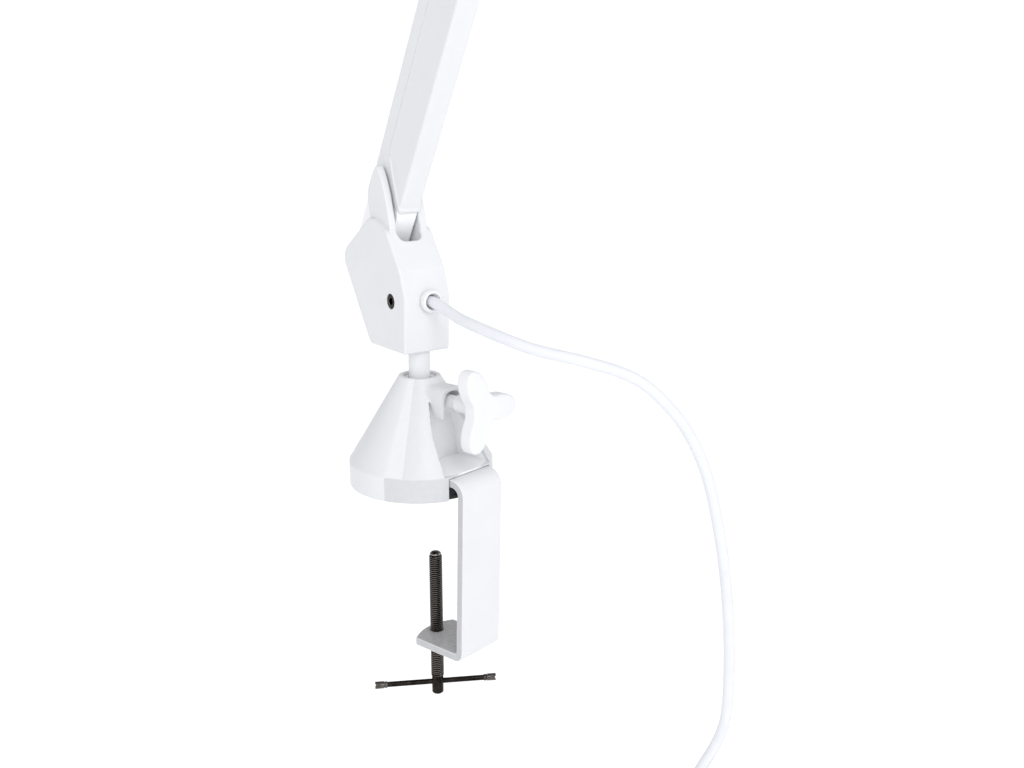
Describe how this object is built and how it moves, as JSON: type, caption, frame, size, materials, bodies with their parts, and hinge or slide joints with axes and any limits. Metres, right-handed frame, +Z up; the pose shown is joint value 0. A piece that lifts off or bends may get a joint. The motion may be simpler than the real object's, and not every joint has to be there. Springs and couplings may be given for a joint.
{
  "type": "swing arm desk lamp",
  "caption": "Clamp-mounted swing arm desk lamp with a conical base, screw clamp, swivelling knuckle, two tilting arms, a slim light head and a mains lead.",
  "frame": {"origin": "centre of the base pad's underside, on the table top", "axes": "+Z up; +X to the back, towards the clamp strap, locking knob and lead; -X towards the user"},
  "size_m": [0.7779, 0.2202, 0.9253],
  "materials": {
    "white_cast": "satin",
    "white_alloy": "satin",
    "white_cover": "satin",
    "white_flex": "matte",
    "black_rubber": "matte",
    "dark_nickel": "polished",
    "steel": "satin",
    "brass": "satin",
    "nylon": "matte",
    "diffuser": "matte",
    "led_board": "matte"
  },
  "bodies": {
    "base": {"base_cone": "white_cast", "base_pad": "black_rubber", "clamp_bracket": "white_cast", "bracket_screw_a": "steel", "bracket_screw_b": "steel", "swivel_bush": "nylon"},
    "lock_plug": {"lock_plug": "brass"},
    "knob": {"wing_knob": "white_cover", "knob_screw": "white_cover"},
    "thrust_tip": {"thrust_tip": "dark_nickel"},
    "clamp_screw": {"clamp_screw": "dark_nickel"},
    "tommy_bar": {"tommy_bar": "dark_nickel", "bar_end_a": "dark_nickel", "bar_end_b": "dark_nickel"},
    "knuckle": {"knuckle_body": "white_alloy", "knuckle_cover_near": "white_alloy", "knuckle_cover_far": "white_alloy", "knuckle_bolt": "dark_nickel", "knuckle_nut": "dark_nickel", "post": "white_cast", "lower_pivot_pin": "steel", "lower_washer_near": "nylon", "lower_washer_far": "nylon", "cord_gland": "white_cover", "cord_run": "white_flex", "cord_coil": "white_flex", "cord_tie": "black_rubber", "cord_tail": "white_flex", "plug_body": "white_cover", "plug_pin_a": "steel", "plug_pin_b": "steel"},
    "lower_arm": {"lower_arm_bar": "white_alloy", "lower_arm_cover": "white_cover", "elbow_clevis": "white_alloy", "elbow_bolt": "white_alloy", "elbow_cap": "white_alloy", "elbow_washer_near": "nylon", "elbow_washer_far": "nylon"},
    "upper_arm": {"upper_arm_bar": "white_alloy", "upper_arm_cover": "white_cover", "head_clevis": "white_alloy", "head_bolt": "white_alloy", "head_cap": "white_alloy"},
    "neck": {"head_neck": "white_alloy"},
    "head": {"head_housing": "white_cover", "head_end_cap_inner": "white_cover", "head_end_cap_outer": "white_cover", "diffuser": "diffuser", "led_board": "led_board"},
    "button": {"power_button": "white_cover"}
  },
  "joints": [
    {"name": "lock_slide", "type": "slide", "parent": "base", "child": "lock_plug", "axis": [1, 0, 0], "range_m": [0, 0.00252]},
    {"name": "knob_turn", "type": "hinge", "parent": "lock_plug", "child": "knob", "pos_m": [0.04, 0, 0.0535], "axis": [1, 0, 0], "range_deg": [0, 720]},
    {"name": "screw_travel", "type": "slide", "parent": "base", "child": "thrust_tip", "axis": [0, 0, 1], "range_m": [-0.0461, 0.0281]},
    {"name": "screw_turn", "type": "hinge", "parent": "thrust_tip", "child": "clamp_screw", "pos_m": [0.0104, 0, -0.09], "axis": [0, 0, 1], "range_deg": [-13248, 8064]},
    {"name": "bar_slide", "type": "slide", "parent": "clamp_screw", "child": "tommy_bar", "axis": [0.66, 0.7513, 0], "range_m": [-0.025, 0.027]},
    {"name": "post_swivel", "type": "hinge", "parent": "base", "child": "knuckle", "pos_m": [0, 0, 0.07], "axis": [0, 0, 1], "range_deg": [-170, 170]},
    {"name": "lower_tilt", "type": "hinge", "parent": "knuckle", "child": "lower_arm", "pos_m": [-0.04299, 0.01067, 0.131], "axis": [0.2409, 0.9705, 0], "range_deg": [-75, 3.5]},
    {"name": "elbow_tilt", "type": "hinge", "parent": "lower_arm", "child": "upper_arm", "pos_m": [0.15023, -0.03729, 0.47793], "axis": [0.2409, 0.9705, 0], "range_deg": [-17, 88]},
    {"name": "head_tilt", "type": "hinge", "parent": "upper_arm", "child": "neck", "pos_m": [-0.21052, 0.05225, 0.55694], "axis": [0.2409, 0.9705, 0], "range_deg": [-45, 60]},
    {"name": "head_twist", "type": "hinge", "parent": "neck", "child": "head", "pos_m": [-0.24924, 0.06187, 0.55415], "axis": [-0.9682, 0.2403, -0.0698], "range_deg": [-90, 90]},
    {"name": "button_press", "type": "slide", "parent": "head", "child": "button", "axis": [-0.0677, 0.0168, 0.9976], "range_m": [0, 0.0015], "stiffness_N_per_m": 900, "springref_m": -0.001}
  ],
  "couplings": [
    {"joint": "lock_slide", "follows": "knob_turn", "m_per_rad": 0.00019894},
    {"joint": "screw_travel", "follows": "screw_turn", "m_per_rad": 0.00019894}
  ]
}
